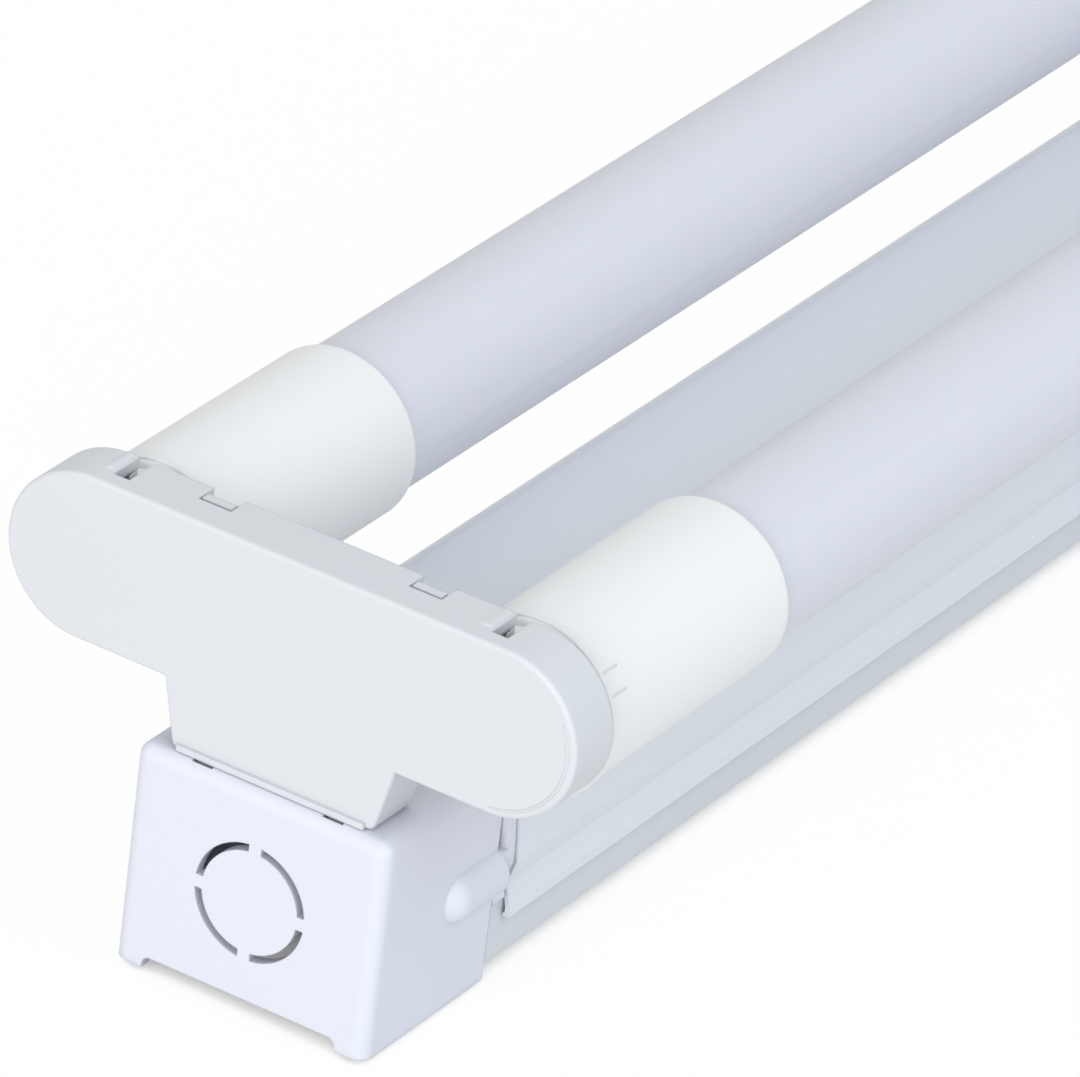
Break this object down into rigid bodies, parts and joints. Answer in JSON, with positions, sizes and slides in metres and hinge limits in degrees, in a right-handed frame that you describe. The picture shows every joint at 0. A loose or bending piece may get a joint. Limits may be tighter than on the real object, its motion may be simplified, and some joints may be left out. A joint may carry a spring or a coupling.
{
  "type": "led tube light fixture",
  "caption": "Twin-tube batten light: folded steel channel with moulded end boxes, T-shaped lampholders with turning sockets and frosted LED tubes that twist to lock.",
  "frame": {"origin": "centre of the mounting face, at the middle of the fixture's length", "axes": "+Z away from the ceiling, the way the light leaves; +Y along the tubes towards the far end; +X to the right seen from the near end"},
  "size_m": [0.1012, 0.615, 0.0773],
  "materials": {
    "white_steel": "satin white powder coat",
    "box_plastic": "satin white moulding",
    "holder_plastic": "satin white moulding",
    "cap_plastic": "matt white moulding",
    "diffuser": "frosted, translucent",
    "plated_pin": "nickel plated",
    "contact_brass": "bare strip",
    "board_aluminium": "white solder mask",
    "led_package": "phosphor in a white package",
    "driver_board": "circuit board",
    "terminal_plastic": "matt moulding",
    "screw_steel": "zinc plated",
    "live_insulation": "insulated core",
    "neutral_insulation": "insulated core",
    "earth_insulation": "insulated core"
  },
  "bodies": {
    "fixture": {"base_tray": "white_steel", "channel_cover": "white_steel", "clamp_screws": "screw_steel", "contact_strip_far": "contact_brass", "contact_strip_near": "contact_brass", "earth_screw": "screw_steel", "earth_tag": "screw_steel", "earth_wire": "earth_insulation", "end_box_far": "box_plastic", "end_box_near": "box_plastic", "holder_plate_far": "holder_plastic", "holder_plate_near": "holder_plastic", "holder_shell_far": "holder_plastic", "holder_shell_near": "holder_plastic", "live_wire": "live_insulation", "neutral_wire": "neutral_insulation", "terminal_block": "terminal_plastic", "terminal_inserts": "contact_brass", "terminal_screw": "screw_steel"},
    "left_tube": {"left_diffuser": "diffuser", "left_driver": "driver_board", "left_end_cap_far": "cap_plastic", "left_end_cap_near": "cap_plastic", "left_led_board": "board_aluminium", "left_leds": "led_package", "left_pins_far": "plated_pin", "left_pins_near": "plated_pin"},
    "right_tube": {"right_diffuser": "diffuser", "right_driver": "driver_board", "right_end_cap_far": "cap_plastic", "right_end_cap_near": "cap_plastic", "right_led_board": "board_aluminium", "right_leds": "led_package", "right_pins_far": "plated_pin", "right_pins_near": "plated_pin"},
    "left_near_socket": {"rotor_left_near": "holder_plastic"},
    "left_far_socket": {"rotor_left_far": "holder_plastic"},
    "right_near_socket": {"rotor_right_near": "holder_plastic"},
    "right_far_socket": {"rotor_right_far": "holder_plastic"}
  },
  "joints": [
    {"name": "left_tube_twist", "type": "hinge", "parent": "fixture", "child": "left_tube", "pos_m": [-0.0336, 0, 0.0602], "axis": [0, 1, 0], "range_deg": [0, 90]},
    {"name": "right_tube_twist", "type": "hinge", "parent": "fixture", "child": "right_tube", "pos_m": [0.0336, 0, 0.0602], "axis": [0, 1, 0], "range_deg": [0, 90]},
    {"name": "left_near_socket_turn", "type": "hinge", "parent": "fixture", "child": "left_near_socket", "pos_m": [-0.0336, 0, 0.0602], "axis": [0, 1, 0], "range_deg": [0, 90]},
    {"name": "left_far_socket_turn", "type": "hinge", "parent": "fixture", "child": "left_far_socket", "pos_m": [-0.0336, 0, 0.0602], "axis": [0, 1, 0], "range_deg": [0, 90]},
    {"name": "right_near_socket_turn", "type": "hinge", "parent": "fixture", "child": "right_near_socket", "pos_m": [0.0336, 0, 0.0602], "axis": [0, 1, 0], "range_deg": [0, 90]},
    {"name": "right_far_socket_turn", "type": "hinge", "parent": "fixture", "child": "right_far_socket", "pos_m": [0.0336, 0, 0.0602], "axis": [0, 1, 0], "range_deg": [0, 90]}
  ],
  "couplings": [
    {"joint": "left_near_socket_turn", "follows": "left_tube_twist", "ratio": 1},
    {"joint": "left_far_socket_turn", "follows": "left_tube_twist", "ratio": 1},
    {"joint": "right_near_socket_turn", "follows": "right_tube_twist", "ratio": 1},
    {"joint": "right_far_socket_turn", "follows": "right_tube_twist", "ratio": 1}
  ]
}
